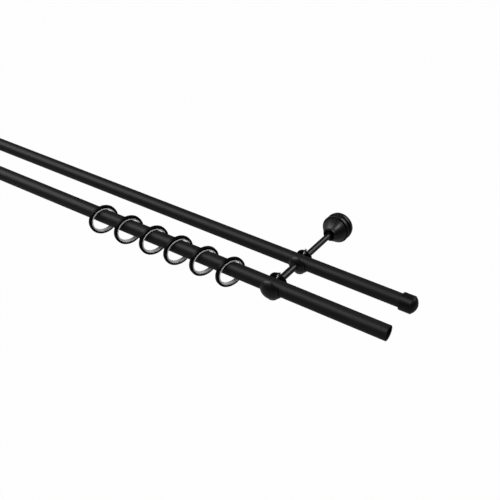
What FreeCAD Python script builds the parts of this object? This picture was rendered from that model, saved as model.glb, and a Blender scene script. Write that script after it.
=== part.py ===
import FreeCAD, Part
import math
import os

from FreeCAD import Vector

# Double curtain pole on two wall brackets, in millimetres.
# X runs along the poles, +Y points into the wall and +Z is up.
# The origin lies on the wall plane, midway between the two brackets, at the height of the stems.

# Poles
pole_length = 1200.0
bracket_inset = 157.0
front_pole_diameter = 20.0
front_pole_wall = 1.0
front_pole_projection = 178.0
rear_pole_diameter = 18.6
rear_pole_wall = 1.0
rear_pole_projection = 111.5
pole_end_break = 0.25

# End caps of the rear pole
cap_wall = 2.35
cap_clearance = 0.1
cap_grip = 13.7
cap_end_thickness = 2.0
cap_dome_height = 5.2
cap_tip_diameter = 6.0
cap_edge_break = 0.4
cap_dome_swell = (0.13, 0.62)

# Ball holders
seat_clearance = 0.15
front_ear_thickness = 7.2
rear_ear_thickness = 6.4
socket_floor_thickness = 2.8
front_foot_diameter = 14.0
rear_foot_diameter = 13.0
foot_height = 0.6
foot_chamfer = 0.7

# Stems
rear_stem_diameter = 8.4
front_stem_diameter = 9.4
stem_stud_diameter = 5.0
stem_stud_length = 2.5
wall_stud_diameter = 6.0
wall_stud_length = 5.5
stem_clearance = 0.05
stem_end_chamfer = 0.3

# Set screws that lock the poles in their holders
set_screw_diameter = 3.0
set_screw_length = 8.6
set_screw_angle = 42.0
set_screw_gap = 0.05
set_screw_tip = 0.6
hex_across_flats = 1.5
hex_depth = 1.6

# Wall plates
plate_diameter = 33.0
plate_thickness = 3.0
boss_diameter = 14.4
boss_height = 12.0
boss_socket_depth = 6.0
plate_edge_break = 0.4
wall_screw_spacing = 24.0
wall_screw_hole_diameter = 4.5
wall_screw_head_diameter = 7.7

# Rosettes that cover the wall plates
rosette_depth = 33.0
rosette_wall = 1.4
rim_back_diameter = 38.0
rim_diameter = 40.0
rim_front_diameter = 38.6
rim_depth = 7.0
waist_diameter = 36.8
bead_start = 12.4
bead_end = 15.4
bead_diameter = 40.2
bead_chamfer = 0.9
groove_diameter = 34.8
groove_end = 16.2
cone_diameter = 36.0
cone_crown = (0.5, 0.6)
collar_diameter = 18.6
collar_length = 2.0
collar_chamfer = 0.4
opening_diameter = 15.2
opening_depth = 6.0
hub_length = 4.0
rosette_screw_length = 7.0

# Curtain rings with their glide liners
ring_offsets = (280.5, 234.5, 190.5, 149.0, 106.5, 65.0)
ring_diameter = 42.2
ring_thickness = 3.1
ring_width = 4.5
ring_chamfer = 0.7
ring_bore_diameter = 33.0
ring_swivel = 23.0
ring_hang_gap = 0.4
liner_clearance = 0.05
liner_lip_height = 0.25
liner_lip_thickness = 0.3
liner_chamfer = 0.4

# Sizes that follow from the ones above
front_pole_radius = front_pole_diameter / 2
rear_pole_radius = rear_pole_diameter / 2
bracket_x = pole_length / 2 - bracket_inset
front_slot_half = front_pole_radius + seat_clearance
rear_slot_half = rear_pole_radius + seat_clearance
front_ball_radius = front_slot_half + front_ear_thickness
rear_ball_radius = rear_slot_half + rear_ear_thickness
front_socket_floor = front_slot_half + socket_floor_thickness
rear_socket_floor = rear_slot_half + socket_floor_thickness

LEFT, RIGHT = -1, 1
SIDES = {"left": LEFT, "right": RIGHT}
TO_ROOM = Vector(0, -1, 0)
TO_WALL = Vector(0, 1, 0)
UP = Vector(0, 0, 1)
DOWN = Vector(0, 0, -1)


def outline(start, *steps):
    """Closed face in the plane of radius (x) and height (z): a step is an end point, or (middle, end) of an arc."""
    edges = []
    here = Vector(start[0], 0, start[1])
    for step in list(steps) + [start]:
        if isinstance(step[0], tuple):
            middle = Vector(step[0][0], 0, step[0][1])
            there = Vector(step[1][0], 0, step[1][1])
            edges.append(Part.Arc(here, middle, there).toShape())
        else:
            there = Vector(step[0], 0, step[1])
            if there.distanceToPoint(here) < 1e-6:
                continue
            edges.append(Part.LineSegment(here, there).toShape())
        here = there
    return Part.Face(Part.Wire(edges))


def turned(face):
    """Solid of revolution of an outline about the local Z axis."""
    return face.revolve(Vector(0, 0, 0), UP, 360)


def placed(shape, origin, direction):
    """The shape with its local origin at a point and its local Z axis along a direction."""
    shape.Placement = FreeCAD.Placement(origin, FreeCAD.Rotation(UP, direction))
    return shape


def tube(outer_radius, wall, length, y):
    """Pole tube along X, centred on the middle plane, with both ends lightly broken."""
    inner = outer_radius - wall
    rim = pole_end_break
    face = outline(
        (inner, 0),
        (outer_radius - rim, 0),
        (outer_radius, rim),
        (outer_radius, length - rim),
        (outer_radius - rim, length),
        (inner, length),
    )
    return placed(turned(face), Vector(-length / 2, y, 0), Vector(1, 0, 0))


def rear_cap(side):
    """Cup that slips over an end of the rear pole and closes it with a domed nose."""
    bore = rear_pole_radius + cap_clearance
    outer = bore + cap_wall
    recess = rear_pole_radius - rear_pole_wall
    rim = cap_edge_break
    nose = cap_end_thickness + cap_dome_height
    tip = cap_tip_diameter / 2
    swell_out, swell_up = cap_dome_swell
    dome_middle = ((outer + tip) / 2 + cap_dome_height * swell_out, cap_end_thickness + cap_dome_height * swell_up)
    face = outline(
        (bore + rim, -cap_grip),
        (outer - rim, -cap_grip),
        (outer, -cap_grip + rim),
        (outer, cap_end_thickness - rim),
        (outer - rim, cap_end_thickness),
        (dome_middle, (tip, nose)),
        (0, nose),
        (0, cap_end_thickness),
        (recess, cap_end_thickness),
        (recess, 0),
        (bore, 0),
        (bore, -cap_grip + rim),
    )
    origin = Vector(side * pole_length / 2, -rear_pole_projection, 0)
    return placed(turned(face), origin, Vector(side, 0, 0))


def stem_socket(slot_half, floor, stem_diameter, direction):
    """Space for one stem in a ball holder: its seat and the hole for its stud."""
    seat = Part.makeCylinder(stem_diameter / 2 + stem_clearance, 4 * floor, direction * floor, direction)
    stud = Part.makeCylinder(stem_stud_diameter / 2 + stem_clearance, floor, direction * (slot_half / 2), direction)
    return seat.fuse(stud)


def set_screw_direction():
    """Direction of a pole's set screw: up and back, through the rear ear of the holder."""
    angle = math.radians(set_screw_angle)
    return Vector(0, math.cos(angle), math.sin(angle))


def ball_holder(slot_half, ball_radius, foot_diameter, sockets):
    """Ball with an open seat for the pole, a round foot, stem sockets and a set screw hole."""
    foot_radius = foot_diameter / 2
    foot_bottom = ball_radius + foot_height
    foot = turned(
        outline(
            (0, 0),
            (foot_radius, 0),
            (foot_radius, -foot_bottom + foot_chamfer),
            (foot_radius - foot_chamfer, -foot_bottom),
            (0, -foot_bottom),
        )
    )
    body = Part.makeSphere(ball_radius).fuse(foot)
    span = 4 * ball_radius
    seat = Part.makeCylinder(slot_half, span, Vector(-span / 2, 0, 0), Vector(1, 0, 0))
    mouth = Part.makeBox(span, 2 * slot_half, ball_radius * 2, Vector(-span / 2, -slot_half, 0))
    body = body.cut(seat.fuse(mouth).removeSplitter())
    for stem_diameter, direction in sockets:
        floor = slot_half + socket_floor_thickness
        body = body.cut(stem_socket(slot_half, floor, stem_diameter, direction))
    screw_hole = Part.makeCylinder(
        set_screw_diameter / 2 + stem_clearance, span, Vector(0, 0, 0), set_screw_direction()
    )
    return body.cut(screw_hole).removeSplitter()


def stem(diameter, length, back_stud_diameter, back_stud_length):
    """Round stem along local Z with a stud at each end; its back shoulder is at zero."""
    radius = diameter / 2
    back = back_stud_diameter / 2
    front = stem_stud_diameter / 2
    face = outline(
        (0, -back_stud_length),
        (back - stem_end_chamfer, -back_stud_length),
        (back, -back_stud_length + stem_end_chamfer),
        (back, 0),
        (radius - stem_end_chamfer, 0),
        (radius, stem_end_chamfer),
        (radius, length - stem_end_chamfer),
        (radius - stem_end_chamfer, length),
        (front, length),
        (front, length + stem_stud_length - stem_end_chamfer),
        (front - stem_end_chamfer, length + stem_stud_length),
        (0, length + stem_stud_length),
    )
    return turned(face)


def rear_stem(x):
    """Stem from the wall plate to the rear holder."""
    start = boss_height - boss_socket_depth
    length = rear_pole_projection - rear_socket_floor - start
    shape = stem(rear_stem_diameter, length, wall_stud_diameter, wall_stud_length)
    return placed(shape, Vector(x, -start, 0), TO_ROOM)


def front_stem(x):
    """Stem from the rear holder to the front holder."""
    start = rear_pole_projection + rear_socket_floor
    length = front_pole_projection - front_socket_floor - start
    shape = stem(front_stem_diameter, length, stem_stud_diameter, stem_stud_length)
    return placed(shape, Vector(x, -start, 0), TO_ROOM)


def front_holder(x):
    """Ball holder of the front pole, carried by the front stem."""
    sockets = [(front_stem_diameter, TO_WALL)]
    shape = ball_holder(front_slot_half, front_ball_radius, front_foot_diameter, sockets)
    return placed(shape, Vector(x, -front_pole_projection, 0), UP)


def rear_holder(x):
    """Ball holder of the rear pole, between the two stems."""
    sockets = [(rear_stem_diameter, TO_WALL), (front_stem_diameter, TO_ROOM)]
    shape = ball_holder(rear_slot_half, rear_ball_radius, rear_foot_diameter, sockets)
    return placed(shape, Vector(x, -rear_pole_projection, 0), UP)


def grub_screw(diameter, length):
    """Headless screw along local Z: a chamfered tip at zero and a hexagon socket at the far end."""
    radius = diameter / 2
    tip = min(set_screw_tip, length / 4)
    body = turned(
        outline(
            (0, 0),
            (radius - tip, 0),
            (radius, tip),
            (radius, length - tip / 2),
            (radius - tip / 2, length),
            (0, length),
        )
    )
    depth = min(hex_depth, length / 2)
    corners = []
    for index in range(7):
        angle = math.radians(60 * index)
        reach = hex_across_flats / math.sqrt(3)
        corners.append(Vector(reach * math.cos(angle), reach * math.sin(angle), length - depth))
    socket = Part.Face(Part.makePolygon(corners)).extrude(Vector(0, 0, depth))
    return body.cut(socket)


def holder_set_screw(x, projection, pole_radius):
    """Set screw whose tip bears on the upper back of a pole."""
    direction = set_screw_direction()
    origin = Vector(x, -projection, 0) + direction * (pole_radius + set_screw_gap)
    return placed(grub_screw(set_screw_diameter, set_screw_length), origin, direction)


def rosette_set_screw(x):
    """Set screw in the hub of a rosette, reached from below and bearing on the stem."""
    start = rear_stem_diameter / 2 + set_screw_gap
    origin = Vector(x, -(rosette_depth - opening_depth - hub_length / 2), -start)
    return placed(grub_screw(set_screw_diameter, rosette_screw_length), origin, DOWN)


def wall_plate(x):
    """Round plate against the wall with a socket boss for the stem and two countersunk holes."""
    radius = plate_diameter / 2
    boss = boss_diameter / 2
    socket = rear_stem_diameter / 2 + stem_clearance
    stud = wall_stud_diameter / 2 + stem_clearance
    floor = boss_height - boss_socket_depth
    rim = plate_edge_break
    body = turned(
        outline(
            (stud, 0),
            (radius, 0),
            (radius, plate_thickness - rim),
            (radius - rim, plate_thickness),
            (boss, plate_thickness),
            (boss, boss_height - rim),
            (boss - rim, boss_height),
            (socket, boss_height),
            (socket, floor),
            (stud, floor),
        )
    )
    hole = wall_screw_hole_diameter / 2
    head = wall_screw_head_diameter / 2
    cutter = turned(
        outline(
            (0, -1),
            (hole, -1),
            (hole, plate_thickness - (head - hole)),
            (head, plate_thickness),
            (head, plate_thickness + 1),
            (0, plate_thickness + 1),
        )
    )
    for offset in (-wall_screw_spacing / 2, wall_screw_spacing / 2):
        hole_shape = cutter.copy()
        hole_shape.translate(Vector(0, offset, 0))
        body = body.cut(hole_shape)
    return placed(body, Vector(x, 0, 0), TO_ROOM)


def rosette(x):
    """Bell-shaped cover: swelling rim, waist, bead, groove, slightly crowned cone and a collar with an open front."""
    rim_back = rim_back_diameter / 2
    rim = rim_diameter / 2
    rim_front = rim_front_diameter / 2
    waist = waist_diameter / 2
    bead = bead_diameter / 2
    groove = groove_diameter / 2
    cone = cone_diameter / 2
    collar = collar_diameter / 2
    opening = opening_diameter / 2
    bore = rear_stem_diameter / 2 + stem_clearance
    wall = rosette_wall
    collar_start = rosette_depth - collar_length
    hub_front = rosette_depth - opening_depth
    hub_back = hub_front - hub_length
    crown_out, crown_up = cone_crown
    cone_middle = ((cone + collar) / 2 + crown_out, (groove_end + collar_start) / 2 + crown_up)
    hub_share = (hub_back - groove_end) / (collar_start - groove_end)
    hub_rim = cone + hub_share * (collar - cone) - wall
    face = outline(
        (rim_back - wall, 0),
        (rim_back, 0),
        ((rim, rim_depth / 2), (rim_front, rim_depth)),
        (waist, rim_depth),
        (waist, bead_start),
        (bead - bead_chamfer, bead_start),
        (bead, bead_start + bead_chamfer),
        (bead, bead_end - bead_chamfer),
        (bead - bead_chamfer, bead_end),
        (groove, bead_end),
        (groove, groove_end),
        (cone, groove_end),
        (cone_middle, (collar, collar_start)),
        (collar, rosette_depth - collar_chamfer),
        (collar - collar_chamfer, rosette_depth),
        (opening, rosette_depth),
        (opening, hub_front),
        (bore, hub_front),
        (bore, hub_back),
        (hub_rim, hub_back),
        (groove - wall, groove_end),
        (groove - wall, rim_depth - wall),
        (rim_back - wall, rim_depth - wall),
    )
    body = turned(face)
    screw_hole = Part.makeCylinder(
        set_screw_diameter / 2 + stem_clearance, rim, Vector(0, 0, hub_front - hub_length / 2), Vector(0, -1, 0)
    )
    return placed(body.cut(screw_hole), Vector(x, 0, 0), TO_ROOM)


def ring_centre(offset):
    """Centre of a curtain ring that hangs on the front pole, at a distance left of the right bracket."""
    drop = front_pole_radius + ring_hang_gap - ring_bore_diameter / 2
    return Vector(bracket_x - offset, -front_pole_projection, drop)


def ring_direction():
    """Axis of a hanging ring, which is swivelled a little about the vertical."""
    angle = math.radians(ring_swivel)
    return Vector(math.cos(angle), -math.sin(angle), 0)


def ring_band(offset):
    """Metal band of a curtain ring, with broken outer edges."""
    outer = ring_diameter / 2
    inner = outer - ring_thickness
    half = ring_width / 2
    face = outline(
        (inner, -half),
        (outer - ring_chamfer, -half),
        (outer, -half + ring_chamfer),
        (outer, half - ring_chamfer),
        (outer - ring_chamfer, half),
        (inner, half),
    )
    return placed(turned(face), ring_centre(offset), ring_direction())


def ring_liner(offset):
    """Plastic glide liner inside a ring: a sleeve with a small lip over each face of the band."""
    band = ring_diameter / 2 - ring_thickness
    seat = band - liner_clearance
    lip = band + liner_lip_height
    bore = ring_bore_diameter / 2
    groove = ring_width / 2 + liner_clearance
    half = groove + liner_lip_thickness
    face = outline(
        (bore, -half + liner_chamfer),
        (bore + liner_chamfer, -half),
        (lip, -half),
        (lip, -groove),
        (seat, -groove),
        (seat, groove),
        (lip, groove),
        (lip, half),
        (bore + liner_chamfer, half),
        (bore, half - liner_chamfer),
    )
    return placed(turned(face), ring_centre(offset), ring_direction())


def bracket_parts(name, side):
    """The pieces of one bracket, by node name."""
    x = side * bracket_x
    return {
        f"wall_plate_{name}": wall_plate(x),
        f"rosette_{name}": rosette(x),
        f"rear_stem_{name}": rear_stem(x),
        f"rear_holder_{name}": rear_holder(x),
        f"front_stem_{name}": front_stem(x),
        f"front_holder_{name}": front_holder(x),
    }


def all_parts():
    """Every node of the curtain pole with its shape."""
    parts = {
        "front_pole": tube(front_pole_radius, front_pole_wall, pole_length, -front_pole_projection),
        "rear_pole": tube(rear_pole_radius, rear_pole_wall, pole_length, -rear_pole_projection),
    }
    pole_screws = []
    rosette_screws = []
    for name, side in SIDES.items():
        parts[f"rear_cap_{name}"] = rear_cap(side)
        parts.update(bracket_parts(name, side))
        x = side * bracket_x
        pole_screws.append(holder_set_screw(x, front_pole_projection, front_pole_radius))
        pole_screws.append(holder_set_screw(x, rear_pole_projection, rear_pole_radius))
        rosette_screws.append(rosette_set_screw(x))
    parts["holder_set_screws"] = Part.makeCompound(pole_screws)
    parts["rosette_set_screws"] = Part.makeCompound(rosette_screws)
    for number, offset in enumerate(ring_offsets, start=1):
        parts[f"ring_{number}"] = ring_band(offset)
        parts[f"ring_{number}_liner"] = ring_liner(offset)
    return parts


os.makedirs("parts", exist_ok=True)
for node, shape in all_parts().items():
    print(node, len(shape.Solids), "valid" if shape.isValid() else "NOT VALID", round(shape.Volume, 1))
    shape.exportStep(f"parts/{node}.step")
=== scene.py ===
"""Double curtain pole: two black poles in ball holders on stemmed wall brackets, with lined curtain rings."""

import logging
from dataclasses import dataclass
from enum import Enum
from typing import Any, ClassVar, Iterable, Sequence

import bpy
import numpy as np
from mathutils import Matrix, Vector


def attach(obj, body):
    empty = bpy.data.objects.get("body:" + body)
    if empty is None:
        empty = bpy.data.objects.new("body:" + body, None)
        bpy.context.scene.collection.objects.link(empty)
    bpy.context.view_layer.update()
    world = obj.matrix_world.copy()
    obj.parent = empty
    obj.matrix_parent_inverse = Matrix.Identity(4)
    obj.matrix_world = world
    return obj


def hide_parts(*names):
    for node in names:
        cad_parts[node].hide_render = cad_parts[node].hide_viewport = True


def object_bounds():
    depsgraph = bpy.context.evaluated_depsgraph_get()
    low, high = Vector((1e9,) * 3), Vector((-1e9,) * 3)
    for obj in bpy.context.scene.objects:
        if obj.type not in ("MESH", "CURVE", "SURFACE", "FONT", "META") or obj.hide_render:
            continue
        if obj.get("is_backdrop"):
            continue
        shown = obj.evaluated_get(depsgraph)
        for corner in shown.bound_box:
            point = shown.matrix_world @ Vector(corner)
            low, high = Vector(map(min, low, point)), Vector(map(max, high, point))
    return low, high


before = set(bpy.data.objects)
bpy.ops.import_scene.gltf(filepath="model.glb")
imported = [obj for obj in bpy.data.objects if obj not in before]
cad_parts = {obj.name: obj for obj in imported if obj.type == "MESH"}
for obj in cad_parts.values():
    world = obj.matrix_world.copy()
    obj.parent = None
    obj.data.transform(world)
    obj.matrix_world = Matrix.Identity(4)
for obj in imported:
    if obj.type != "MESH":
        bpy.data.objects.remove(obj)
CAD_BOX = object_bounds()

Array = np.ndarray
LOG = logging.getLogger("curtain_pole")

MM = 0.001
WELD_DISTANCE = 1e-6
SHARP_ANGLE = np.radians(35.0)
ROOT_BODY = "poles_and_brackets"

# Sizes that several pieces share, in millimetres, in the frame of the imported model.
BRACKET_X = 443.0
HALF_LENGTH = 600.0
SEAT_CLEARANCE = 0.15
SOCKET_FLOOR = 2.8
SET_SCREW_ANGLE = 42.0
SET_SCREW_GAP = 0.05
REAR_STEM_RADIUS = 4.2
FRONT_STEM_RADIUS = 4.7
REAR_STEM_START = 6.0
WALL_STUD = (3.0, 5.5)
HOLDER_STUD = (2.5, 2.5)
RING_OFFSETS = (280.5, 234.5, 190.5, 149.0, 106.5, 65.0)

# Rules of rounded profiles: points on each arc, the largest share of a side that a rounding takes, how far
# past the rounding the flat gets one more point, the shortest step between points, and the distance that
# counts as none. UPRIGHT is the height of a unit vector from which it counts as upright.
ARC_POINTS = 7
LARGEST_SHARE = 0.38
SHOULDER = 1.3
SHORTEST_STEP = 1e-7
SAME_PLACE = 1e-6
UPRIGHT = 0.9

ALONG = (1.0, 0.0, 0.0)
TO_ROOM = (0.0, -1.0, 0.0)
UP = (0.0, 0.0, 1.0)
WHITE = (1.0, 1.0, 1.0, 1.0)


class Side(Enum):
    """The two ends of the curtain pole."""

    LEFT = -1
    RIGHT = 1

    @property
    def label(self) -> str:
        """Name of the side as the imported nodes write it."""
        return self.name.lower()

    @property
    def bracket_x(self) -> float:
        """Place of this side's bracket along the poles, in millimetres."""
        return self.value * BRACKET_X


@dataclass(frozen=True)
class PoleLine:
    """Sizes of one pole and of the ball holders that carry it, in millimetres."""

    label: str
    projection: float
    radius: float
    ball_radius: float
    foot_radius: float

    @property
    def seat_radius(self) -> float:
        """Radius of the holders' seats."""
        return self.radius + SEAT_CLEARANCE

    @property
    def socket_floor(self) -> float:
        """Distance from the pole's axis to the floor of a stem's socket."""
        return self.seat_radius + SOCKET_FLOOR


FRONT = PoleLine("front", projection=178.0, radius=10.0, ball_radius=17.35, foot_radius=7.0)
REAR = PoleLine("rear", projection=111.5, radius=9.3, ball_radius=15.85, foot_radius=6.5)


class Slot(Enum):
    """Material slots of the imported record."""

    BLACK = "black_powder_coat"
    STEEL = "bright_screw_steel"
    LINER = "milky_liner_plastic"


# Surfaces


def soft_profile(corners: Sequence[tuple[float, float, float]]) -> Array:
    """Profile with rounded corners, as a polyline.

    Each corner P is replaced by the circular arc that touches both of its sides. With A and B on the
    sides, at the radius over the tangent of half the corner's angle from P, and w the sine of that half
    angle, the arc is ((1-t)^2 A + 2 w t (1-t) P + t^2 B) / ((1-t)^2 + 2 w t (1-t) + t^2). One more point
    on each side, a little beyond A and B, keeps the flat next to the arc flat in shading.

    Args:
        corners: Radius from the axis, height along it and rounding radius of each corner, in millimetres.

    Returns:
        Points of the profile, one row each: radius from the axis and height along it.
    """
    data = np.asarray(corners, float)
    points, rounding = data[:, :2], data[:, 2]
    back = np.roll(points, 1, axis=0) - points
    ahead = np.roll(points, -1, axis=0) - points
    back_length = np.linalg.norm(back, axis=1)
    ahead_length = np.linalg.norm(ahead, axis=1)
    back_way = back / back_length[:, None]
    ahead_way = ahead / ahead_length[:, None]
    half = np.arccos(np.clip((back_way * ahead_way).sum(axis=1), -1.0, 1.0)) / 2
    reach = rounding / np.tan(half)
    reach = np.minimum(reach, LARGEST_SHARE * np.minimum(back_length, ahead_length))[:, None]
    start = (points + back_way * reach)[:, None, :]
    end = (points + ahead_way * reach)[:, None, :]
    weight = np.sin(half)[:, None, None]
    t = np.linspace(0.0, 1.0, ARC_POINTS)[None, :, None]
    top = (1 - t) ** 2 * start + 2 * weight * t * (1 - t) * points[:, None, :] + t**2 * end
    arc = top / ((1 - t) ** 2 + 2 * weight * t * (1 - t) + t**2)
    before = (points + back_way * reach * SHOULDER)[:, None, :]
    after = (points + ahead_way * reach * SHOULDER)[:, None, :]
    line = np.concatenate([before, arc, after], axis=1).reshape(-1, 2)
    moved = np.linalg.norm(np.diff(line, axis=0, prepend=line[-1:]), axis=1) > SHORTEST_STEP
    return line[moved]


def axes_across(direction: Sequence[float]) -> tuple[Array, Array, Array]:
    """Two unit vectors across a direction, and the direction itself as a unit vector.

    Args:
        direction: Any vector that isn't zero.

    Returns:
        The first and second axis across it, and the unit direction, as a right-handed set.
    """
    way = np.asarray(direction, float)
    way = way / np.linalg.norm(way)
    helper = np.array(UP) if abs(way[2]) < UPRIGHT else np.array(ALONG)
    first = np.cross(helper, way)
    first /= np.linalg.norm(first)
    return first, np.cross(way, first), way


def lathe(radii: Array, heights: Array, origin: Sequence[float], direction: Sequence[float]) -> Array:
    """Grid of points turned about an axis.

    The point in row i and column j is the origin plus the height of row i along the axis plus the radius
    at (i, j) times the direction that stands at the angle of column j across the axis.

    Args:
        radii: Radius at each row and column, in millimetres.
        heights: Height of each row along the axis, in millimetres, as one column.
        origin: Point on the axis at height zero.
        direction: Direction of the axis.

    Returns:
        Grid of points: rows along the profile, columns round the axis.
    """
    first, second, way = axes_across(direction)
    columns = radii.shape[1]
    angle = np.arange(columns) * 2 * np.pi / columns
    spoke = np.cos(angle)[:, None] * first + np.sin(angle)[:, None] * second
    return np.asarray(origin, float) + heights[..., None] * way + radii[..., None] * spoke


def arch(start: Sequence[float], middle: Sequence[float], end: Sequence[float], steps: int) -> Array:
    """Curve (1-t)^2 A + 2 t (1-t) P + t^2 B without its ends, with P placed so that it meets a middle point.

    Args:
        start: Radius and height of A.
        middle: Radius and height of the point that the curve passes through halfway.
        end: Radius and height of B.
        steps: Points on the curve, the ends left out.

    Returns:
        Points of the curve, one row each.
    """
    start, middle, end = (np.asarray(point, float) for point in (start, middle, end))
    pull = 2 * middle - (start + end) / 2
    t = np.linspace(0.0, 1.0, steps + 2)[1:-1, None]
    return (1 - t) ** 2 * start + 2 * t * (1 - t) * pull + t**2 * end


@dataclass
class Shell:
    """One closed surface, as points and faces that point outwards."""

    points: Array
    triangles: Array
    quads: Array

    @classmethod
    def from_grid(cls, grid: Array, loop_rows: bool) -> "Shell":
        """Closed surface of a grid whose columns join up.

        Points that share a place are joined, so that a row that shrinks to a point or folds flat closes the
        surface. The faces are turned over if the enclosed volume, a sixth of the sum of the triangles' triple
        products, comes out negative.

        Args:
            grid: Points by row and column, in millimetres.
            loop_rows: Whether the last row joins the first one.

        Returns:
            The closed surface.
        """
        rows, columns = grid.shape[:2]
        row = np.arange(rows if loop_rows else rows - 1)[:, None]
        column = np.arange(columns)[None, :]
        next_row, next_column = (row + 1) % rows, (column + 1) % columns
        corners = (
            row * columns + column,
            next_row * columns + column,
            next_row * columns + next_column,
            row * columns + next_column,
        )
        faces = np.stack(np.broadcast_arrays(*corners), axis=-1).reshape(-1, 4)
        flat = grid.reshape(-1, 3)
        keys = np.round(flat * MM / WELD_DISTANCE).astype(np.int64)
        _, first, place = np.unique(keys, axis=0, return_index=True, return_inverse=True)
        faces = place.reshape(-1)[faces]
        repeated = faces == np.roll(faces, -1, axis=1)
        count = repeated.sum(axis=1)
        quads = faces[count == 0]
        triangles = faces[count == 1][~repeated[count == 1]].reshape(-1, 3)
        points = flat[first]
        halves = np.concatenate([quads[:, [0, 1, 2]], quads[:, [0, 2, 3]], triangles])
        a, b, c = (points[halves[:, k]] for k in range(3))
        if np.einsum("ij,ij->i", a - points.mean(axis=0), np.cross(b - a, c - a)).sum() < 0:
            quads, triangles = quads[:, ::-1], triangles[:, ::-1]
        return cls(points, triangles, quads)

    @classmethod
    def turned(
        cls,
        profile: Array,
        origin: Sequence[float],
        direction: Sequence[float],
        columns: int,
        loop_rows: bool,
    ) -> "Shell":
        """Closed surface of a profile turned about an axis.

        Args:
            profile: Rows of radius and height, in millimetres.
            origin: Point on the axis at height zero.
            direction: Direction of the axis.
            columns: Points round the axis.
            loop_rows: Whether the profile is a loop, and not a line from the axis back to the axis.

        Returns:
            The closed surface.
        """
        radii = np.repeat(profile[:, :1], columns, axis=1)
        return cls.from_grid(lathe(radii, profile[:, 1:], origin, direction), loop_rows)


def add_piece(
    name: str,
    shells: Iterable[Shell],
    finish: "Finish",
    node: str,
    body: str = ROOT_BODY,
) -> None:
    """Puts closed surfaces into one smooth-shaded object that rides on a body, with its place in its mesh.

    Args:
        name: Name of the piece.
        shells: Its surfaces, in millimetres.
        finish: Finish of the piece.
        node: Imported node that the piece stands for.
        body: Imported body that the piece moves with.
    """
    points, faces, start = [], [], 0
    for shell in shells:
        points.append(shell.points)
        faces += (shell.quads + start).tolist() + (shell.triangles + start).tolist()
        start += len(shell.points)
    mesh = bpy.data.meshes.new(name)
    mesh.from_pydata((np.concatenate(points) * MM).tolist(), [], faces)
    mesh.polygons.foreach_set("use_smooth", np.ones(len(mesh.polygons), bool))
    mesh.set_sharp_from_angle(angle=SHARP_ANGLE)
    mesh.materials.append(finish.material())
    mesh.update()
    piece = bpy.data.objects.new(name, mesh)
    bpy.context.scene.collection.objects.link(piece)
    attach(piece, body)
    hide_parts(node)
    LOG.info("%s: %d points, %d faces, rides on %s", name, len(mesh.vertices), len(mesh.polygons), body)


# Shading


class Value:
    """A number socket whose Python operators add Math nodes."""

    def __init__(self, shader: "Shader", socket: bpy.types.NodeSocket) -> None:
        """Wraps an output socket of a shader's node tree."""
        self.shader = shader
        self.socket = socket

    def math(self, operation: str, *operands: Any) -> "Value":
        """Adds a Math node with this operation on the operands."""
        node = self.shader.node("ShaderNodeMath", {"operation": operation}, dict(enumerate(operands)))
        return Value(self.shader, node.outputs[0])

    def __add__(self, other: Any) -> "Value":
        """This value plus another."""
        return self.math("ADD", self, other)

    def __radd__(self, other: Any) -> "Value":
        """Another value plus this one."""
        return self.math("ADD", other, self)

    def __sub__(self, other: Any) -> "Value":
        """This value minus another."""
        return self.math("SUBTRACT", self, other)

    def __rsub__(self, other: Any) -> "Value":
        """Another value minus this one."""
        return self.math("SUBTRACT", other, self)

    def __mul__(self, other: Any) -> "Value":
        """This value times another."""
        return self.math("MULTIPLY", self, other)

    def __rmul__(self, other: Any) -> "Value":
        """Another value times this one."""
        return self.math("MULTIPLY", other, self)

    def __gt__(self, other: Any) -> "Value":
        """One where this value is greater than another, and else zero."""
        return self.math("GREATER_THAN", self, other)


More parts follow.
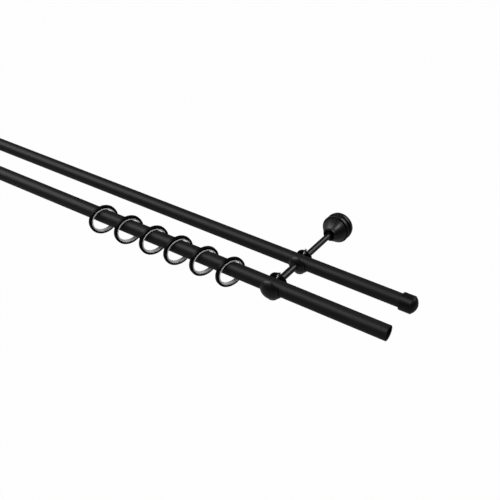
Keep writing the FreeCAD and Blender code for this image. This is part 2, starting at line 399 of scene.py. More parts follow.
class Shader:
    """Node tree of a material or of the world, with one method that adds nodes."""

    def __init__(self, owner: bpy.types.Material | bpy.types.World) -> None:
        """Empties the owner's node tree.

        Args:
            owner: Material or world that the nodes are for.
        """
        owner.use_nodes = True
        self.tree = owner.node_tree
        self.tree.nodes.clear()

    def node(
        self, kind: str, settings: dict[str, Any] | None = None, inputs: dict[Any, Any] | None = None
    ) -> bpy.types.Node:
        """Adds a node, makes its settings and then fills its sockets.

        Args:
            kind: Type of the node.
            settings: Its own settings by name, which are made first.
            inputs: Values, sockets or Value objects by the input's name or number.

        Returns:
            The new node.
        """
        node = self.tree.nodes.new(kind)
        for name, value in (settings or {}).items():
            setattr(node, name, value)
        for name, value in (inputs or {}).items():
            socket = node.inputs[name]
            if isinstance(value, Value):
                value = value.socket
            if isinstance(value, bpy.types.NodeSocket):
                self.tree.links.new(value, socket)
            else:
                socket.default_value = value
        return node

    def place(self, scale: Sequence[float] = (1.0, 1.0, 1.0)) -> bpy.types.NodeSocket:
        """Object coordinates in metres, stretched by a factor along each axis."""
        inputs = {"Vector": self.node("ShaderNodeTexCoord").outputs["Object"], "Scale": tuple(scale)}
        return self.node("ShaderNodeMapping", {}, inputs).outputs["Vector"]

    def noise(self, vector: bpy.types.NodeSocket, scale: float, detail: float) -> Value:
        """Noise from zero to one with so many lumps per metre."""
        node = self.node("ShaderNodeTexNoise", {}, {"Vector": vector, "Scale": scale, "Detail": detail})
        return Value(self, node.outputs[0])

    def cells(self, vector: bpy.types.NodeSocket, scale: float) -> Value:
        """Random grey per cell of a cell pattern."""
        node = self.node("ShaderNodeTexVoronoi", {}, {"Vector": vector, "Scale": scale})
        return Value(self, self.node("ShaderNodeRGBToBW", {}, {"Color": node.outputs["Color"]}).outputs[0])

    def blend(self, factor: Value, low: Sequence[float], high: Sequence[float]) -> bpy.types.NodeSocket:
        """Colour that goes from low to high with a factor."""
        inputs = {0: factor, 6: (*low, 1.0), 7: (*high, 1.0)}
        return self.node("ShaderNodeMix", {"data_type": "RGBA"}, inputs).outputs[2]

    def bump(self, height: Value, strength: float, distance: float) -> bpy.types.NodeSocket:
        """Normal of a surface raised by a height, in metres for a height of one."""
        inputs = {"Height": height, "Strength": strength, "Distance": distance}
        return self.node("ShaderNodeBump", {}, inputs).outputs["Normal"]

    def surface(self, inputs: dict[str, Any]) -> None:
        """Ends the tree in a Principled BSDF with these inputs."""
        principled = self.node("ShaderNodeBsdfPrincipled", {}, inputs)
        self.node("ShaderNodeOutputMaterial", {}, {"Surface": principled.outputs["BSDF"]})


@dataclass(frozen=True)
class Finish:
    """A finish that dresses a new material of its name."""

    name: str

    def dress(self, shader: Shader) -> None:
        """Adds the nodes of the finish to an empty tree."""
        raise NotImplementedError

    def material(self) -> bpy.types.Material:
        """Material of this finish, made the first time that it is asked for.

        Returns:
            The material, dressed in this finish.
        """
        material = bpy.data.materials.get(self.name)
        if material is None:
            material = bpy.data.materials.new(self.name)
            self.dress(Shader(material))
        return material


@dataclass(frozen=True)
class PowderCoat(Finish):
    """Black powder coat: a fine orange-peel skin with faint dust and rubbed patches."""

    dark: tuple[float, float, float] = (0.004, 0.004, 0.0042)
    pale: tuple[float, float, float] = (0.008, 0.008, 0.0083)
    roughness: float = 0.48
    roughness_spread: float = 0.1
    specular: float = 0.29
    peel_per_metre: float = 900.0
    peel_height: float = 0.00002
    peel_strength: float = 0.6
    grit_per_peel: float = 5.5
    grit_share: float = 0.25
    patches_per_metre: float = 38.0
    specks_per_metre: float = 2600.0
    speck_threshold: float = 0.79
    speck_cover: float = 0.5
    dust: tuple[float, float, float] = (0.05, 0.05, 0.05)

    def dress(self, shader: Shader) -> None:
        """Adds the nodes: peel and grit for the skin, patches for colour and gloss, specks for the dust.

        Args:
            shader: Empty node tree of the material.
        """
        place = shader.place()
        peel = shader.noise(place, self.peel_per_metre, 3.0)
        grit = shader.noise(place, self.peel_per_metre * self.grit_per_peel, 2.0)
        patches = shader.noise(place, self.patches_per_metre, 4.0)
        specks = shader.noise(place, self.specks_per_metre, 0.0) > self.speck_threshold
        colour = shader.blend(patches, self.dark, self.pale)
        inputs = {0: specks * self.speck_cover, 6: colour, 7: (*self.dust, 1.0)}
        dusted = shader.node("ShaderNodeMix", {"data_type": "RGBA"}, inputs)
        skin = peel * (1 - self.grit_share) + grit * self.grit_share
        spread = self.roughness_spread
        shader.surface(
            {
                "Base Color": dusted.outputs[2],
                "Roughness": self.roughness + (patches - 0.5) * spread + (grit - 0.5) * spread,
                "Specular IOR Level": self.specular,
                "Normal": shader.bump(skin, self.peel_strength, self.peel_height),
            }
        )


@dataclass(frozen=True)
class LinerPlastic(Finish):
    """Milky moulded plastic with faint flow marks."""

    low: tuple[float, float, float] = (0.88, 0.88, 0.87)
    high: tuple[float, float, float] = (0.95, 0.95, 0.94)
    roughness: float = 0.38
    roughness_spread: float = 0.16
    specular: float = 0.15
    milkiness: float = 0.15
    light_depth: tuple[float, float, float] = (0.0015, 0.0015, 0.0014)
    flow_per_metre: float = 160.0
    flow_stretch: tuple[float, float, float] = (1.0, 1.0, 0.25)
    flow_share: float = 0.6
    grain_per_metre: float = 3000.0
    grain_height: float = 0.000008
    grain_strength: float = 0.35

    def dress(self, shader: Shader) -> None:
        """Adds the plastic's nodes: flow marks for colour and gloss, and a fine grain.

        Args:
            shader: Empty node tree of the material.
        """
        flow = shader.noise(shader.place(self.flow_stretch), self.flow_per_metre, 4.0)
        grain = shader.noise(shader.place(), self.grain_per_metre, 2.0)
        skin = grain * (1 - self.flow_share) + flow * self.flow_share
        shader.surface(
            {
                "Base Color": shader.blend(flow, self.low, self.high),
                "Roughness": self.roughness + (flow - 0.5) * self.roughness_spread,
                "Specular IOR Level": self.specular,
                "Subsurface Weight": self.milkiness,
                "Subsurface Radius": self.light_depth,
                "Subsurface Scale": 1.0,
                "Normal": shader.bump(skin, self.grain_strength, self.grain_height),
            }
        )


@dataclass(frozen=True)
class PlatedMetal(Finish):
    """Plated steel with a crystal-like shimmer and fine marks."""

    low: tuple[float, float, float]
    high: tuple[float, float, float]
    roughness: float
    cells_per_metre: float
    crystal_share: float = 0.6
    crystal_gloss: float = 0.14
    stains_per_metre: float = 90.0
    stain_gloss: float = 0.12
    marks_per_metre: float = 700.0
    mark_stretch: tuple[float, float, float] = (1.0, 14.0, 1.0)
    mark_height: float = 0.00001
    mark_strength: float = 0.3

    def dress(self, shader: Shader) -> None:
        """Adds the plating's nodes: crystals and stains for colour and gloss, and marks for the skin.

        Args:
            shader: Empty node tree of the material.
        """
        place = shader.place()
        crystal = shader.cells(place, self.cells_per_metre)
        stain = shader.noise(place, self.stains_per_metre, 5.0)
        marks = shader.noise(shader.place(self.mark_stretch), self.marks_per_metre, 3.0)
        tone = crystal * self.crystal_share + stain * (1 - self.crystal_share)
        gloss = (crystal - 0.5) * self.crystal_gloss + (stain - 0.5) * self.stain_gloss
        shader.surface(
            {
                "Base Color": shader.blend(tone, self.low, self.high),
                "Metallic": 1.0,
                "Roughness": self.roughness + gloss,
                "Normal": shader.bump(marks * 0.5 + crystal * 0.5, self.mark_strength, self.mark_height),
            }
        )


# Smooth coats: name, dark and pale colour, roughness and spread, specular level, peel per metre and height.
POLE_COAT = PowderCoat("pole_powder_coat")
BRACKET_COAT = PowderCoat("bracket_gloss_coat", (0.001,) * 3, (0.003,) * 3, 0.32, 0.06, 0.42, 1400.0, 2e-6)
CAP_COAT = PowderCoat("cap_powder_coat", (0.002,) * 3, (0.004,) * 3, 0.36, 0.08, 0.25, 1400.0, 3e-6)
RING_COAT = PowderCoat("ring_gloss_coat", (0.001,) * 3, (0.002,) * 3, 0.30, 0.08, 0.08, 1400.0, 4e-6)
MILKY_LINER = LinerPlastic("milky_liner")
SCREW_STEEL = PlatedMetal("set_screw_steel", (0.62, 0.62, 0.64), (0.78, 0.78, 0.79), 0.28, 2500.0)
ZINC_PLATING = PlatedMetal("zinc_plating", (0.50, 0.52, 0.55), (0.68, 0.69, 0.70), 0.34, 900.0)


# Pieces


@dataclass
class Pole:
    """Round steel tube with rounded lips and a low weld seam inside."""

    line: PoleLine
    wall: float = 1.0
    lip: float = 0.3
    seam_height: float = 0.18
    seam_width: float = 0.12
    columns: ClassVar[int] = 160

    def surface(self) -> Shell:
        """Tube wall turned about the pole's axis.

        The radius of a row on the inner wall is the bore less the seam's height times the exponential of
        minus the square of the angle from the seam over its width. The lips are left plain.

        Returns:
            The closed wall of the tube.
        """
        outer, inner = self.line.radius, self.line.radius - self.wall
        profile = soft_profile(
            [
                (inner, -HALF_LENGTH, self.lip),
                (outer, -HALF_LENGTH, self.lip),
                (outer, HALF_LENGTH, self.lip),
                (inner, HALF_LENGTH, self.lip),
            ]
        )
        radii = profile[:, :1]
        angle = np.arange(self.columns) * 2 * np.pi / self.columns
        seam = self.seam_height * np.exp(-(((angle - np.pi) / self.seam_width) ** 2))
        inside = (radii < inner + SAME_PLACE).astype(float)
        origin = (0.0, -self.line.projection, 0.0)
        return Shell.from_grid(lathe(radii - inside * seam, profile[:, 1:], origin, ALONG), loop_rows=True)

    def build(self) -> None:
        """Adds the pole to the scene."""
        node = f"{self.line.label}_pole"
        add_piece(f"{node}_tube", [self.surface()], POLE_COAT, node)


@dataclass
class EndCap:
    """Cup with a domed nose over one end of the rear pole."""

    side: Side
    outer_radius: float = 11.75
    grip: float = 13.7
    end_thickness: float = 2.0
    dome_height: float = 5.2
    tip_radius: float = 3.0
    bore_clearance: float = 0.1
    floor_thickness: float = 1.4
    floor_inset: float = 0.4
    floor_edge: float = 0.5
    edge: float = 0.8
    swell: tuple[float, float] = (0.12, 0.57)
    dome_points: ClassVar[int] = 24
    columns: ClassVar[int] = 128

    def surface(self) -> Shell:
        """Cup wall and dome turned about the pole's axis.

        The dome is an arch from the rim to the flat tip, through a crown point halfway.

        Returns:
            The closed cup.
        """
        bore = REAR.radius + self.bore_clearance
        floor = self.end_thickness - self.floor_thickness
        rim = (self.outer_radius - self.edge, self.end_thickness)
        tip = (self.tip_radius, self.end_thickness + self.dome_height)
        crown = (
            (self.outer_radius + self.tip_radius) / 2 + self.dome_height * self.swell[0],
            self.end_thickness + self.dome_height * self.swell[1],
        )
        cup = soft_profile(
            [
                (0.0, floor, 0.0),
                (bore - self.floor_inset, floor, self.floor_edge),
                (bore, -self.grip, self.edge),
                (self.outer_radius, -self.grip, self.edge),
                (self.outer_radius, self.end_thickness, self.edge),
                (0.0, self.end_thickness, 0.0),
            ]
        )
        at_rim = np.isclose(cup[:, 1], self.end_thickness, atol=SAME_PLACE) & (cup[:, 0] > bore)
        skirt = cup[: np.argmax(at_rim) + 1]
        dome = [rim, *arch(rim, crown, tip, self.dome_points), tip, (0.0, tip[1])]
        profile = np.concatenate([skirt, dome])
        origin = (self.side.value * HALF_LENGTH, -REAR.projection, 0.0)
        return Shell.turned(profile, origin, (self.side.value, 0.0, 0.0), self.columns, loop_rows=False)

    def build(self) -> None:
        """Adds the cap to the scene."""
        node = f"rear_cap_{self.side.label}"
        add_piece(f"{node}_cup", [self.surface()], CAP_COAT, node)


@dataclass
class BallHolder:
    """Ball with an open seat for the pole between two ears, on a short round foot."""

    side: Side
    line: PoleLine
    foot_height: float = 0.6
    foot_edge: float = 0.6
    foot_flare: float = 0.5
    flare_height: float = 0.6
    flare_sink: float = 0.1
    ear_rounding: float = 0.7
    seat_stations: ClassVar[int] = 56
    ear_stations: ClassVar[int] = 28
    edge_points: ClassVar[int] = 8
    skin_points: ClassVar[int] = 42
    seat_points: ClassVar[int] = 18
    foot_columns: ClassVar[int] = 96

    def ball(self) -> Shell:
        """Ball less its seat, with rounded ear edges.

        A small sphere of the rounding's radius f rolls along the edge between the seat of radius s and
        the ball of radius R. Its centre keeps s + f from the seat's axis or middle plane and R - f from
        the ball's centre, so it follows two half circles across the seat and one arc over each ear. Each
        station of that path gives one loop: the arc that the small sphere leaves at one end of the ball,
        the ball's own arc across to the other end, the same small arc there, and a straight line back
        along the seat. At the tip of an ear the loop folds flat, which closes the surface.

        Returns:
            The closed ball.
        """
        f, ball, seat = self.ear_rounding, self.line.ball_radius, self.line.seat_radius
        reach = np.sqrt((ball - f) ** 2 - (seat + f) ** 2)
        rise = np.linspace(0.0, np.pi / 2, self.ear_stations + 1)
        down = rise[::-1]
        sweep = np.linspace(np.pi, 2 * np.pi, self.seat_stations + 1)[1:-1]
        x = np.concatenate([reach * np.cos(down), np.full(len(sweep), reach), reach * np.cos(rise)])
        y = (seat + f) * np.concatenate([np.full(len(down), -1.0), np.cos(sweep), np.ones(len(rise))])
        z = np.concatenate([reach * np.sin(down), (seat + f) * np.sin(sweep), reach * np.sin(rise)])
        wall_z = np.concatenate([np.zeros(len(down)), -np.sin(sweep), np.zeros(len(rise))])
        x[0] = x[-1] = 0.0
        centre = np.stack([x, y, z], axis=1)
        to_seat = np.stack([np.zeros(len(x)), -y / (seat + f), wall_z], axis=1)
        to_skin = centre / (ball - f)
        span = np.arccos(np.clip((to_seat * to_skin).sum(axis=1), -1.0, 1.0))[:, None, None]
        t = np.linspace(0.0, 1.0, self.edge_points)[None, :, None]
        way = (np.sin((1 - t) * span) * to_seat[:, None] + np.sin(t * span) * to_skin[:, None]) / np.sin(span)
        near = centre[:, None] + f * way
        mirror = np.array([-1.0, 1.0, 1.0])
        around = np.arctan2(z, y)[:, None]
        limit = np.arcsin(np.clip(x / (ball - f), -1.0, 1.0))[:, None]
        lean = limit * np.linspace(1.0, -1.0, self.skin_points)[None, 1:-1]
        level = np.cos(lean)
        skin = ball * np.stack([np.sin(lean), level * np.cos(around), level * np.sin(around)], axis=-1)
        slide = np.cos(np.linspace(np.pi, 0.0, self.seat_points))[None, 1:-1, None]
        start = near[:, :1]
        line = start * np.array([0.0, 1.0, 1.0]) + slide * start * np.array([1.0, 0.0, 0.0])
        loops = np.concatenate([near, skin, (near * mirror)[:, ::-1], line], axis=1)
        place = np.array([self.side.bracket_x, -self.line.projection, 0.0])
        return Shell.from_grid(loops + place, loop_rows=False)

    def foot(self) -> Shell:
        """Short round foot under the ball, flared where it meets it.

        Returns:
            The closed foot.
        """
        ball, foot = self.line.ball_radius, self.line.foot_radius
        bottom, flared = ball + self.foot_height, foot + self.foot_flare
        root = np.sqrt(ball**2 - flared**2)
        profile = soft_profile(
            [
                (0.0, root - self.flare_height, 0.0),
                (flared, root - self.flare_sink, 0.0),
                (foot, root + self.flare_height, self.foot_flare),
                (foot, bottom, self.foot_edge),
                (0.0, bottom, 0.0),
            ]
        )
        origin = (self.side.bracket_x, -self.line.projection, 0.0)
        return Shell.turned(profile, origin, (0.0, 0.0, -1.0), self.foot_columns, loop_rows=False)

    def build(self) -> None:
        """Adds the ball and its foot to the scene."""
        node = f"{self.line.label}_holder_{self.side.label}"
        for name, shell in (("ball", self.ball()), ("foot", self.foot())):
            add_piece(f"{node}_{name}", [shell], BRACKET_COAT, node)


@dataclass
class Stem:
    """Round bar between two places on the bracket's axis, with a smaller stud at each end."""

    side: Side
    label: str
    radius: float
    start: float
    end: float
    back_stud: tuple[float, float] = HOLDER_STUD
    front_stud: tuple[float, float] = HOLDER_STUD
    edge: float = 0.3
    columns: ClassVar[int] = 96

    def bar(self) -> Shell:
        """Bar with its two studs, turned about the bracket's axis.

        Returns:
            The closed bar.
        """
        back_radius, back_length = self.back_stud
        front_radius, front_length = self.front_stud
        profile = soft_profile(
            [
                (0.0, self.start - back_length, 0.0),
                (back_radius, self.start - back_length, self.edge),
                (back_radius, self.start, 0.0),
                (self.radius, self.start, self.edge),
                (self.radius, self.end, self.edge),
                (front_radius, self.end, 0.0),
                (front_radius, self.end + front_length, self.edge),
                (0.0, self.end + front_length, 0.0),
            ]
        )
        return Shell.turned(profile, (self.side.bracket_x, 0.0, 0.0), TO_ROOM, self.columns, loop_rows=False)

    def build(self) -> None:
        """Adds the bar to the scene."""
        node = f"{self.label}_stem_{self.side.label}"
        add_piece(f"{node}_bar", [self.bar()], BRACKET_COAT, node)


@dataclass
class Rosette:
    """Bell-shaped cover: swelling rim, waist, bead, groove, crowned cone and a collar with an open front."""

    side: Side
    depth: float = 33.0
    wall: float = 1.4
    rim_back_radius: float = 19.0
    rim_crest: tuple[float, float] = (20.0, 4.4)
    rim_front_radius: float = 19.5
    rim_depth: float = 7.0
    waist_radius: float = 17.9
    waist_step: float = 0.3
    bead: tuple[float, float, float] = (12.4, 13.6, 15.4)
    bead_radius: float = 20.1
    groove_radius: float = 17.4
    groove_end: float = 16.2
    cone_radius: float = 18.0
    crown: tuple[float, float] = (0.5, 0.6)
    collar_radius: float = 9.3
    collar_length: float = 2.0
    opening_radius: float = 7.6
    opening_depth: float = 6.0
    hub_length: float = 4.0
    bore: float = 4.25
    rim_points: ClassVar[int] = 12
    cone_points: ClassVar[int] = 28
    columns: ClassVar[int] = 160

    def surface(self) -> Shell:
        """Wall of the cover turned about the stem's axis, with its rim and its cone as arches.

        Returns:
            The closed wall.
        """
        collar_start = self.depth - self.collar_length
        hub_front = self.depth - self.opening_depth
        hub_back = hub_front - self.hub_length
        rim_back, rim_front = (self.rim_back_radius, 0.0), (self.rim_front_radius, self.rim_depth)
        rim = arch(rim_back, self.rim_crest, rim_front, self.rim_points)
        foot = np.array([self.cone_radius, self.groove_end])
        head = np.array([self.collar_radius, collar_start])
        cone = arch(foot, (foot + head) / 2 + np.array(self.crown), head, self.cone_points)
        share = (hub_back - self.groove_end) / (collar_start - self.groove_end)
        hub_rim = self.cone_radius + share * (self.collar_radius - self.cone_radius) - self.wall
        bead_back, bead_crest, bead_front = self.bead
        rim, cone = (np.pad(curve, ((0, 0), (0, 1))) for curve in (rim, cone))
        profile = soft_profile(
            [
                (self.rim_back_radius - self.wall, 0.0, 0.2),
                (*rim_back, 0.25),
                *rim,
                (*rim_front, 0.5),
                (self.waist_radius, self.rim_depth + self.waist_step, 0.25),
                (self.waist_radius, bead_back, 0.3),
                (self.bead_radius, bead_crest, 0.6),
                (self.bead_radius, bead_front, 0.8),
                (self.groove_radius, bead_front, 0.2),
                (self.groove_radius, self.groove_end, 0.2),
                (self.cone_radius, self.groove_end, 0.3),
                *cone,
                (self.collar_radius, collar_start, 0.4),
                (self.collar_radius, self.depth, 0.5),
                (self.opening_radius, self.depth, 0.4),
                (self.opening_radius, hub_front, 0.6),
                (self.bore, hub_front, 0.3),
                (self.bore, hub_back, 0.2),
                (hub_rim, hub_back, 0.5),
                (self.groove_radius - self.wall, self.groove_end, 0.5),
                (self.groove_radius - self.wall, self.rim_depth - self.wall, 0.3),
                (self.rim_back_radius - self.wall, self.rim_depth - self.wall, 0.5),
            ]
        )
        return Shell.turned(profile, (self.side.bracket_x, 0.0, 0.0), TO_ROOM, self.columns, loop_rows=True)

    def build(self) -> None:
        """Adds the cover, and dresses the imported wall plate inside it."""
        node = f"rosette_{self.side.label}"
        add_piece(f"{node}_cover", [self.surface()], BRACKET_COAT, node)
        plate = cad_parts[f"wall_plate_{self.side.label}"]
        for slot in plate.material_slots:
            slot.material = ZINC_PLATING.material()


@dataclass
class GrubScrew:
    """Headless set screw with a cut thread, a blunt tip and a hexagon socket."""

    origin: tuple[float, float, float]
    direction: tuple[float, float, float]
    length: float
    radius: float = 1.5
    pitch: float = 0.5
    thread_depth: float = 0.28
    hex_flats: float = 1.5
    hex_depth: float = 1.3
    socket_point: float = 0.3
    tip_length: float = 0.6
    edge: float = 0.15
    columns: ClassVar[int] = 48
    rows_per_turn: ClassVar[int] = 10

    def surface(self) -> Shell:
        """Threaded body and socket as one grid round the screw's axis.

        The thread's radius at a height and an angle is the outer radius less the depth times the distance
        of the phase, height over pitch less angle over a full turn, from its nearest whole number,
        doubled. The depth fades to nothing at both ends. The hexagon's radius is half its width over the
        cosine of the angle from the middle of the nearest flat.

        Returns:
            The closed screw.
        """
        angle = np.arange(self.columns)[None, :] * 2 * np.pi / self.columns
        turns = (self.length - self.tip_length) / self.pitch
        top = self.length - self.edge
        body = np.linspace(self.tip_length, top, int(turns * self.rows_per_turn))[:, None]
        phase = body / self.pitch - angle / (2 * np.pi)
        fade = np.clip(np.minimum(body - self.tip_length, top - body) / self.pitch, 0.0, 1.0)
        thread = self.radius - 2 * self.thread_depth * fade * np.abs(phase - np.round(phase))
        flat = (angle + np.pi / 6) % (np.pi / 3) - np.pi / 6
        hexagon = self.hex_flats / 2 / np.cos(flat)
        tip, rim = (np.full_like(angle, self.radius - cut) for cut in (self.tip_length, self.edge))
        axis = np.zeros_like(angle)
        radii = np.concatenate([axis, tip, thread, rim, hexagon, hexagon, axis])
        floor = self.length - min(self.hex_depth, self.length / 2)
        ends = [self.length, self.length, floor, floor - self.socket_point]
        heights = np.concatenate([[0.0, 0.0], body[:, 0], ends])[:, None]
        return Shell.from_grid(lathe(radii, heights, self.origin, self.direction), loop_rows=False)


@dataclass
class SetScrews:
    """All the set screws of both brackets."""

    pole_screw_length: float = 8.6
    cover_screw_length: float = 7.0
    cover_screw_place: float = 25.0

    def pole_screw(self, side: Side, line: PoleLine) -> Shell:
        """Screw through the rear ear of one holder, with its tip on the pole.

        Args:
            side: Side of the bracket.
            line: Pole that the screw clamps.

        Returns:
            The closed screw.
        """
        angle = np.radians(SET_SCREW_ANGLE)
        way = np.array([0.0, np.cos(angle), np.sin(angle)])
        start = np.array([side.bracket_x, -line.projection, 0.0]) + way * (line.radius + SET_SCREW_GAP)
        return GrubScrew(tuple(start), tuple(way), self.pole_screw_length).surface()

    def cover_screw(self, side: Side) -> Shell:
        """Screw in the hub of one rosette, reached from below."""
        start = (side.bracket_x, -self.cover_screw_place, -(REAR_STEM_RADIUS + SET_SCREW_GAP))
        return GrubScrew(start, (0.0, 0.0, -1.0), self.cover_screw_length).surface()

    def build(self) -> None:
        """Adds the screws to the scene."""
        pole_screws = [self.pole_screw(side, line) for side in Side for line in (FRONT, REAR)]
        cover_screws = [self.cover_screw(side) for side in Side]
        for node, shells in (("holder_set_screws", pole_screws), ("rosette_set_screws", cover_screws)):
            add_piece(f"{node}_threaded", shells, SCREW_STEEL, node)


@dataclass
class CurtainRing:
    """Metal band with a plastic glide liner, hanging on the front pole."""

    number: int
    offset: float
    outer_radius: float = 21.7
    thickness: float = 3.7
    width: float = 4.5
    bore_radius: float = 16.5
    swivel: float = 23.0
    hang_gap: float = 0.4
    lip_height: float = 0.25
    lip_thickness: float = 0.3
    clearance: float = 0.05
    outer_edge: float = 0.7
    bore_edge: float = 0.45
    fine_edge: float = 0.15
    columns: ClassVar[int] = 160

    def turned_about_ring(self, front: Sequence[tuple[float, float, float]]) -> Shell:
        """Closed profile, alike on both sides of the ring's middle plane, turned about the ring's axis.

        Args:
            front: Radius, distance from the plane and rounding of each corner on one side, in millimetres.

        Returns:
            The closed ring surface.
        """
        corners = [(radius, -place, rounding) for radius, place, rounding in reversed(front)] + list(front)
        drop = FRONT.radius + self.hang_gap - self.bore_radius
        origin = (BRACKET_X - self.offset, -FRONT.projection, drop)
        angle = np.radians(self.swivel)
        way = (np.cos(angle), -np.sin(angle), 0.0)
        return Shell.turned(soft_profile(corners), origin, way, self.columns, loop_rows=True)

    def band(self) -> Shell:
        """Metal band with well rounded outer edges.

        Returns:
            The closed band.
        """
        inner, outer, half = self.outer_radius - self.thickness, self.outer_radius, self.width / 2
        return self.turned_about_ring([(outer, half, self.outer_edge), (inner, half, self.fine_edge)])

    def liner(self) -> Shell:
        """Plastic sleeve with a small lip over each face of the band.

        Returns:
            The closed sleeve.
        """
        band = self.outer_radius - self.thickness
        seat, lip = band - self.clearance, band + self.lip_height
        groove = self.width / 2 + self.clearance
        half = groove + self.lip_thickness
        return self.turned_about_ring(
            [
                (seat, groove, 0.0),
                (lip, groove, 0.0),
                (lip, half, self.fine_edge),
                (self.bore_radius, half, self.bore_edge),
            ]
        )

    def build(self) -> None:
        """Adds the band and the liner to the scene."""
        node, body = f"ring_{self.number}", f"curtain_ring_{self.number}"
        add_piece(f"{node}_band", [self.band()], RING_COAT, node, body=body)
        add_piece(f"{node}_sleeve", [self.liner()], MILKY_LINER, f"{node}_liner", body)


@dataclass
class Bracket:
    """One wall bracket: rosette, two stems and two ball holders."""

    side: Side

    def build(self) -> None:
        """Adds the bracket's pieces to the scene."""
        wall_to_rear = (REAR_STEM_START, REAR.projection - REAR.socket_floor)
        rear_to_front = (REAR.projection + REAR.socket_floor, FRONT.projection - FRONT.socket_floor)
        Rosette(self.side).build()
        Stem(self.side, REAR.label, REAR_STEM_RADIUS, *wall_to_rear, back_stud=WALL_STUD).build()
        Stem(self.side, FRONT.label, FRONT_STEM_RADIUS, *rear_to_front).build()
        for line in (REAR, FRONT):
            BallHolder(self.side, line).build()


# Studio


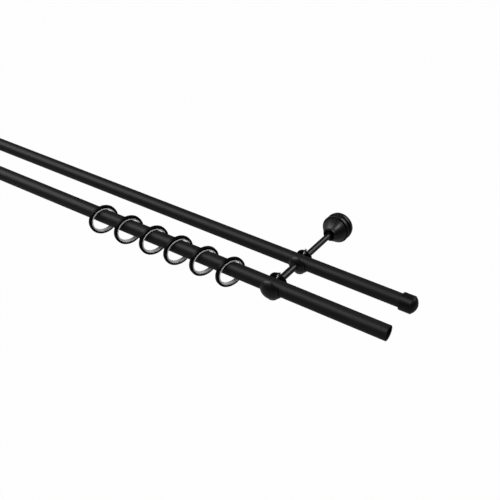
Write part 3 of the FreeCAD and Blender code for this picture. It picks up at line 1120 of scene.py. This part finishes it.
@dataclass
class Studio:
    """Pale floor, dim room, soft lamps and the photograph's camera. Metres, but the lens in millimetres."""

    floor_height: float = -0.75
    floor_size: float = 60.0
    floor_colour: tuple[float, float, float] = (0.30, 0.30, 0.30)
    camera_glow: float = 0.985
    mirror_glow: float = 0.05
    room: tuple[float, float, float] = (0.06, 0.06, 0.06)
    room_mirror_glow: float = 0.02
    aim: tuple[float, float, float] = (0.40, -0.14, 0.0)
    lamp_distance: float = 4.0
    lens: float = 57.16
    sensor_width: float = 36.0
    clip: tuple[float, float] = (0.01, 100.0)
    turn: float = 31.89
    tilt: float = 33.74
    roll: float = 2.52
    eye_from_holder: tuple[float, float, float] = (0.3945, -0.6929, 0.5841)

    def whiten(
        self, shader: Shader, plain: bpy.types.Node, white: bpy.types.Node, output: str, mirror_glow: float
    ) -> None:
        """Ends a tree in a plain shader, nearly white to the camera and slightly so in mirrors and glass.

        The share of white is the camera ray times the camera's glow plus the glossy and transmitted ray
        times the mirrors' glow, so the light on the object stays that of the plain shader.

        Args:
            shader: Node tree to end.
            plain: Shader that lights the object.
            white: White shader of strength 1.
            output: Type of the tree's output node.
            mirror_glow: Share of white that mirrors and glass show.
        """
        path = shader.node("ShaderNodeLightPath")
        kinds = ("Is Camera Ray", "Is Glossy Ray", "Is Transmission Ray")
        camera, glossy, transmitted = (Value(shader, path.outputs[kind]) for kind in kinds)
        share = camera * self.camera_glow + (glossy + transmitted) * mirror_glow
        mixed = shader.node("ShaderNodeMixShader", {}, {0: share, 1: plain.outputs[0], 2: white.outputs[0]})
        shader.node(output, {}, {"Surface": mixed.outputs[0]})

    def floor(self) -> None:
        """Adds the floor, white where the camera sees it, with the object's soft shadow."""
        half = self.floor_size / 2
        corners = [(-half, -half), (half, -half), (half, half), (-half, half)]
        mesh = bpy.data.meshes.new("studio_floor")
        mesh.from_pydata([(x, y, self.floor_height) for x, y in corners], [], [(0, 1, 2, 3)])
        material = bpy.data.materials.new("studio_floor_paper")
        shader = Shader(material)
        paper = shader.node("ShaderNodeBsdfDiffuse", {}, {"Color": (*self.floor_colour, 1.0)})
        glow = shader.node("ShaderNodeEmission", {}, {"Color": WHITE, "Strength": 1.0})
        self.whiten(shader, paper, glow, "ShaderNodeOutputMaterial", self.mirror_glow)
        mesh.materials.append(material)
        floor = bpy.data.objects.new("studio_floor", mesh)
        bpy.context.scene.collection.objects.link(floor)
        floor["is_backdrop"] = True

    def world(self) -> None:
        """Gives the room round the stage one plain dark grey, and white where the camera sees it."""
        world = bpy.data.worlds.new("studio_room")
        bpy.context.scene.world = world
        shader = Shader(world)
        grey = shader.node("ShaderNodeBackground", {}, {"Color": (*self.room, 1.0), "Strength": 1.0})
        white = shader.node("ShaderNodeBackground", {}, {"Color": WHITE, "Strength": 1.0})
        self.whiten(shader, grey, white, "ShaderNodeOutputWorld", self.room_mirror_glow)

    def soft_box(self, name: str, way: Sequence[float], size: tuple[float, float], level: float) -> None:
        """Adds a soft box that faces the stage's aim.

        Args:
            name: Name of the lamp.
            way: Direction from the aim to the lamp.
            size: Its length along X and its breadth, in metres.
            level: Brightness of its face, where 1 is white.
        """
        lamp = bpy.data.lights.new(name, "AREA")
        lamp.shape = "RECTANGLE"
        lamp.size, lamp.size_y = size
        lamp.energy = level * np.pi * size[0] * size[1]
        box = bpy.data.objects.new(name, lamp)
        back = np.asarray(way, float) / np.linalg.norm(way)
        across = np.array(ALONG) - back * back[0]
        across /= np.linalg.norm(across)
        pose = np.eye(4)
        pose[:3, :3] = np.stack([across, np.cross(back, across), back], axis=1)
        pose[:3, 3] = np.array(self.aim) + self.lamp_distance * np.array(way)
        box.matrix_world = Matrix(pose.tolist())
        bpy.context.scene.collection.objects.link(box)

    def lamps(self) -> None:
        """Adds the large left box, the dim side box, the right box and the back box."""
        self.soft_box("left_box", (-0.57, -0.37, 0.73), (4.2, 2.5), 3.4)
        self.soft_box("side_box", (-0.95, -0.02, 0.30), (2.6, 2.4), 0.8)
        self.soft_box("right_box", (0.51, -0.17, 0.84), (1.3, 1.3), 9.0)
        self.soft_box("back_box", (0.41, 0.69, 0.597), (3.1, 1.5), 3.5)

    def camera(self) -> None:
        """Sets the camera at the photograph's place and angle.

        The back of the camera is (sin a cos e, -cos a cos e, sin e) for the turn a and the tilt e. Its
        right and up axes stand across that and are turned by the roll.
        """
        turn, tilt, roll = np.radians([self.turn, self.tilt, self.roll])
        back = np.array([np.sin(turn) * np.cos(tilt), -np.cos(turn) * np.cos(tilt), np.sin(tilt)])
        right = np.array([np.cos(turn), np.sin(turn), 0.0])
        up = np.cross(back, right)
        pose = np.eye(4)
        pose[:3, 0] = np.cos(roll) * right + np.sin(roll) * up
        pose[:3, 1] = np.cos(roll) * up - np.sin(roll) * right
        pose[:3, 2] = back
        holder = np.array([BRACKET_X, -FRONT.projection, 0.0]) * MM
        pose[:3, 3] = holder + np.array(self.eye_from_holder)
        lens = bpy.data.cameras.new("photo_camera")
        lens.lens, lens.sensor_width = self.lens, self.sensor_width
        lens.clip_start, lens.clip_end = self.clip
        camera = bpy.data.objects.new("photo_camera", lens)
        camera.matrix_world = Matrix(pose.tolist())
        bpy.context.scene.collection.objects.link(camera)
        bpy.context.scene.camera = camera

    def build(self) -> None:
        """Sets the whole stage."""
        bpy.context.scene.view_settings.view_transform = "Standard"
        self.floor()
        self.world()
        self.lamps()
        self.camera()
        LOG.info("studio is set")


def main() -> None:
    """Builds the studio and every piece in order."""
    logging.basicConfig(level=logging.INFO, format="%(name)s: %(message)s")
    Studio().build()
    for line in (FRONT, REAR):
        Pole(line).build()
    for side in Side:
        EndCap(side).build()
        Bracket(side).build()
    SetScrews().build()
    for number, offset in enumerate(RING_OFFSETS, start=1):
        CurtainRing(number, offset).build()
    bpy.context.view_layer.update()
    boxes = {"cad": CAD_BOX, "visual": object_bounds()}
    boxes = {name: [list(map(float, corner)) for corner in box] for name, box in boxes.items()}


if __name__ == "__main__":
    main()
